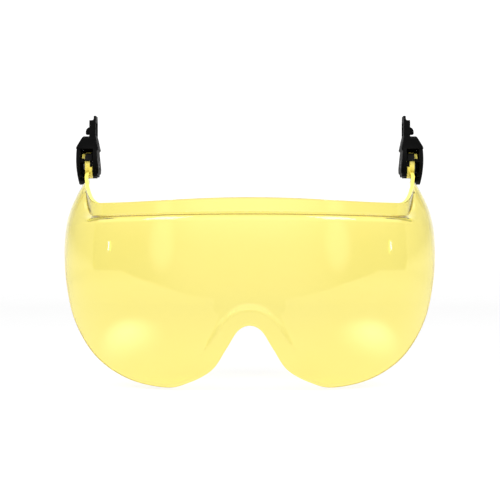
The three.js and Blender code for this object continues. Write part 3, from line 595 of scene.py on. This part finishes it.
def pan_screw(name, x0, x1, y, z, head_radius, head_thick, shank_radius, way):
    """Pan head screw along X, with its head at x0 and its tip at x1."""
    screw = bar_along_x(head_radius, x0, x0 + way * head_thick, y, z, 64)
    screw.name = screw.data.name = name
    faces_facing(screw, -way)
    edit(screw)
    bpy.ops.mesh.bevel(offset=head_thick * 0.55 * MM, segments=6, affect="EDGES")
    leave()
    faces_facing(screw, way)
    edit(screw)
    bpy.ops.mesh.inset(thickness=(head_radius - shank_radius) * MM, depth=0)
    shank = abs(x1 - x0) - head_thick
    bpy.ops.mesh.extrude_region_move(TRANSFORM_OT_translate={"value": (way * shank * MM, 0, 0)})
    bpy.ops.mesh.bevel(offset=0.35 * MM, segments=1, affect="EDGES")
    leave()
    for long, wide in ((1.15, 0.3), (0.3, 1.15)):
        deselect_all()
        bpy.ops.mesh.primitive_cube_add(size=1, location=(x0 * MM, y * MM, z * MM))
        slot = name_active("recess")
        slot.scale = (head_thick * 1.1 * MM, head_radius * long * MM, head_radius * wide * MM)
        bpy.ops.object.transform_apply(location=True, rotation=True, scale=True)
        apply_modifier(slot, "BEVEL", width=0.12 * MM, segments=2, limit_method="ANGLE")
        combine(screw, slot, "DIFFERENCE")
    choose(screw)
    bpy.ops.object.shade_smooth_by_angle(angle=math.radians(35))
    return screw


for side, way in (("left", 1), ("right", -1)):
    # The pivot screw's head is on the inside of the clip, and the cover screw's on the outside.
    low, high = axis_range("pivot_screw_" + side)
    head, tip = (high, low) if side == "left" else (low, high)
    screw = pan_screw("pivot_pan_screw_" + side, head, tip, 0, 0, *PIVOT_SCREW, -way)
    install(screw, "clips", "pivot_screw_" + side, zinc)

    low, high = axis_range("cover_screw_" + side)
    head, tip = (low, high) if side == "left" else (high, low)
    corner_low, corner_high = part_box("cover_screw_" + side)
    middle = (corner_low + corner_high) / 2 / MM
    screw = pan_screw("cover_pan_screw_" + side, head, tip, middle.y, middle.z, *COVER_SCREW, way)
    install(screw, "clips", "cover_screw_" + side, zinc)

    low, high = axis_range("pivot_nut_" + side)
    corner = NUT_ACROSS / 2 / math.cos(math.pi / 6)
    nut = bar_along_x(corner, low, high, sides=6)
    nut.name = nut.data.name = "hexagon_nut_" + side
    barrel = bar_along_x(corner * 0.985, low, high, sides=96)
    apply_modifier(barrel, "BEVEL", width=0.3 * MM, segments=1, limit_method="ANGLE",
                   angle_limit=math.radians(60))
    combine(nut, barrel, "INTERSECT")
    combine(nut, bar_along_x(NUT_BORE, low - 1, high + 1, sides=64), "DIFFERENCE")
    choose(nut)
    bpy.ops.object.shade_smooth_by_angle(angle=math.radians(25))
    install(nut, "clips", "pivot_nut_" + side, zinc)


# ---- Studio ---------------------------------------------------------------------------------------
# A white paper sweep under and behind the object, two soft boxes above it at the front, a small strip
# light at each side, and a room that is pale behind and overhead and dim in front. The paper glows by
# itself, with painted pools of light beside and under the lens and painted shade towards its sides.

FLOOR_Z = LOBE_BOTTOM - 1.5
FLOOR_BACK = 1500
WALL_TOP = 2000
# The paper's front edge, from the middle outwards, comes further forward at the sides.
FRONT_EDGE = (
    (0, -385), (200, -412), (350, -462), (670, -560), (1400, -670), (3000, -900), (6000, -1300))

paper, tree = new_material("white_paper")
grain = node(tree, "ShaderNodeTexNoise", {"Scale": 400.0, "Detail": 3.0})
shade = node(tree, "ShaderNodeMix", {0: grain.outputs["Fac"]}, data_type="RGBA")
shade.inputs[6].default_value = linear("#8e8e8e")
shade.inputs[7].default_value = linear("#949494")
spot = node(tree, "ShaderNodeSeparateXYZ", {"Vector": node(tree, "ShaderNodeTexCoord").outputs["Object"]})
sideways = node(tree, "ShaderNodeMath", {0: spot.outputs["X"]}, operation="ABSOLUTE")


def painted_pool(tree, x, y, reach_x, reach_y):
    """A painted pool of light: 1 at a place on the paper, on both sides of the middle, fading to 0 at its
    reach.
    """
    across = node(tree, "ShaderNodeMath", {0: sideways.outputs["Value"], 1: x * MM}, operation="SUBTRACT")
    across = node(tree, "ShaderNodeMath", {0: across.outputs["Value"], 1: reach_x * MM}, operation="DIVIDE")
    along = node(tree, "ShaderNodeMath", {0: spot.outputs["Y"], 1: y * MM}, operation="SUBTRACT")
    along = node(tree, "ShaderNodeMath", {0: along.outputs["Value"], 1: reach_y * MM}, operation="DIVIDE")
    offset = node(tree, "ShaderNodeCombineXYZ", {"X": across.outputs["Value"], "Y": along.outputs["Value"]})
    far = node(tree, "ShaderNodeVectorMath", {0: offset.outputs["Vector"]}, operation="LENGTH")
    return node(tree, "ShaderNodeMapRange", {
        "Value": far.outputs["Value"], "To Min": 1.0, "To Max": 0.0},
        interpolation_type="SMOOTHSTEP").outputs["Result"]


height = node(tree, "ShaderNodeMapRange", {
    "Value": spot.outputs["Z"], "From Min": FLOOR_Z * MM, "From Max": 0.1, "To Min": 0.6, "To Max": 0.76})
# Painted pools of light on the paper: a strong one beside each lower lobe of the lens, and a weak one under
# the lens that washes out its own shadow.
glow_with_painted_pools = node(tree, "ShaderNodeMath", {
    0: painted_pool(tree, 172, -118, 85, 75), 1: 2.0, 2: height.outputs["Result"]}, operation="MULTIPLY_ADD")
glow_with_painted_pools = node(tree, "ShaderNodeMath", {
    0: painted_pool(tree, 0, -65, 135, 110), 1: 0.2, 2: glow_with_painted_pools.outputs["Value"]}, operation="MULTIPLY_ADD")
# Painted shade: the paper's glow dims from 0.5 m to 1.4 m out to each side, to a fifth of it high on the
# wall and a little on the floor.
side_shade_by_height = node(tree, "ShaderNodeMapRange", {
    "Value": spot.outputs["Z"], "From Min": -0.05, "From Max": 0.1, "To Min": 0.85, "To Max": 0.2})
painted_side_shade = node(tree, "ShaderNodeMapRange", {
    "Value": sideways.outputs["Value"], "From Min": 0.5, "From Max": 1.4, "To Min": 1.0,
    "To Max": side_shade_by_height.outputs["Result"]}, interpolation_type="SMOOTHSTEP")
light_on_paper = node(tree, "ShaderNodeMath", {
    0: glow_with_painted_pools.outputs["Value"], 1: painted_side_shade.outputs["Result"]}, operation="MULTIPLY")
surface = node(tree, "ShaderNodeBsdfPrincipled", {
    "Base Color": shade.outputs[2], "Roughness": 0.9, "Specular IOR Level": 0.0,
    "Emission Color": (1, 1, 1, 1), "Emission Strength": light_on_paper.outputs["Value"]})
node(tree, "ShaderNodeOutputMaterial", {"Surface": surface.outputs["BSDF"]})

deselect_all()
edge_steps = len(FRONT_EDGE) - 1
bpy.ops.mesh.primitive_grid_add(x_subdivisions=2 * edge_steps, y_subdivisions=1, size=2)
sweep = name_active("paper_sweep")
for v in sweep.data.vertices:
    x, y = FRONT_EDGE[abs(round(v.co.x * edge_steps))]
    v.co = Vector((math.copysign(x, v.co.x), y if v.co.y < 0 else FLOOR_BACK, FLOOR_Z)) * MM
edit(sweep, "EDGE")
bpy.ops.mesh.select_all(action="DESELECT")
leave()
for e in sweep.data.edges:
    e.select = all(sweep.data.vertices[i].co.y > 0 for i in e.vertices)
edit(sweep, "EDGE")
bpy.ops.mesh.extrude_region_move(TRANSFORM_OT_translate={"value": (0, 0, (WALL_TOP - FLOOR_Z) * MM)})
leave()
apply_modifier(sweep, "BEVEL", width=300 * MM, segments=12, limit_method="ANGLE")
bpy.ops.object.shade_smooth()
sweep.data.materials.append(paper)


def soft_box(name, place, aim, wide, tall, power):
    light = bpy.data.lights.new(name, "AREA")
    light.shape = "RECTANGLE"
    light.size = wide
    light.size_y = tall
    light.energy = power
    lamp = bpy.data.objects.new(name, light)
    lamp.location = place
    lamp.rotation_euler = (Vector(aim) - Vector(place)).to_track_quat("-Z", "Y").to_euler()
    bpy.context.scene.collection.objects.link(lamp)
    return lamp


def around(azimuth, elevation, distance):
    """A place round the object: azimuth from straight ahead towards +X, in degrees."""
    a, e = math.radians(azimuth), math.radians(elevation)
    return (distance * math.sin(a) * math.cos(e), -distance * math.cos(a) * math.cos(e),
            distance * math.sin(e))


middle = (0, -0.08, -0.06)
for side, name in ((-1, "left"), (1, "right")):
    soft_box(name + "_box", around(side * 54, 36, 1.7), middle, 0.6, 0.8, 12)
    soft_box(name + "_strip", around(side * 86, 3, 1.6), middle, 0.03, 0.06, 0.06)

world = bpy.data.worlds.new("studio")
bpy.context.scene.world = world
world.use_nodes = True
tree = world.node_tree
way = node(tree, "ShaderNodeSeparateXYZ", {
    "Vector": node(tree, "ShaderNodeTexCoord").outputs["Generated"]})
behind = node(tree, "ShaderNodeMapRange", {
    "Value": way.outputs["Y"], "From Min": 0.27, "From Max": 0.31})
above = node(tree, "ShaderNodeMapRange", {
    "Value": way.outputs["Z"], "From Min": 0.1, "From Max": 0.4}, interpolation_type="SMOOTHSTEP")
bright = node(tree, "ShaderNodeMath", {
    0: behind.outputs["Result"], 1: above.outputs["Result"]}, operation="MAXIMUM")
surround = node(tree, "ShaderNodeMapRange", {
    "Value": bright.outputs["Value"], "To Min": 0.2, "To Max": 1.2})
glow = surround.outputs["Result"]
# Soft bright places in the room: a wide one straight ahead, and a small one at each side of it.
for direction, narrow, wide, strength in (
        (around(0, 0, 1), 0.98, 0.4, 0.65),
        (around(-50, 7, 1), 1.0, 0.985, 0.8),
        (around(50, 7, 1), 1.0, 0.985, 0.8)):
    facing = node(tree, "ShaderNodeVectorMath", {
        0: node(tree, "ShaderNodeTexCoord").outputs["Generated"], 1: direction}, operation="DOT_PRODUCT")
    lobe = node(tree, "ShaderNodeMapRange", {
        "Value": facing.outputs["Value"], "From Min": wide, "From Max": narrow, "To Max": strength},
        interpolation_type="SMOOTHSTEP")
    glow = node(tree, "ShaderNodeMath", {0: glow, 1: lobe.outputs["Result"]}).outputs["Value"]
tree.links.new(glow, tree.nodes["Background"].inputs["Strength"])
tree.nodes["Background"].inputs["Color"].default_value = (1, 1, 1, 1)
bpy.context.scene.view_settings.view_transform = "Standard"
# Light is guided a long way inside the clear wall before it leaves at an edge.
bpy.context.scene.cycles.max_bounces = 48
bpy.context.scene.cycles.transmission_bounces = 48

# ---- Camera ---------------------------------------------------------------------------------------
# It stands a metre in front of the tilt axis, a little below it, and looks level along +Y.

camera = bpy.data.cameras.new("camera")
camera.lens = 120.2
camera.sensor_width = 36
camera.clip_start = 0.01
camera.clip_end = 20
camera_object = bpy.data.objects.new("camera", camera)
camera_object.location = (0.00015, -1.0, -0.0509)
camera_object.rotation_euler = (math.pi / 2, 0, 0)
bpy.context.scene.collection.objects.link(camera_object)
bpy.context.scene.camera = camera_object

bpy.context.view_layer.update()
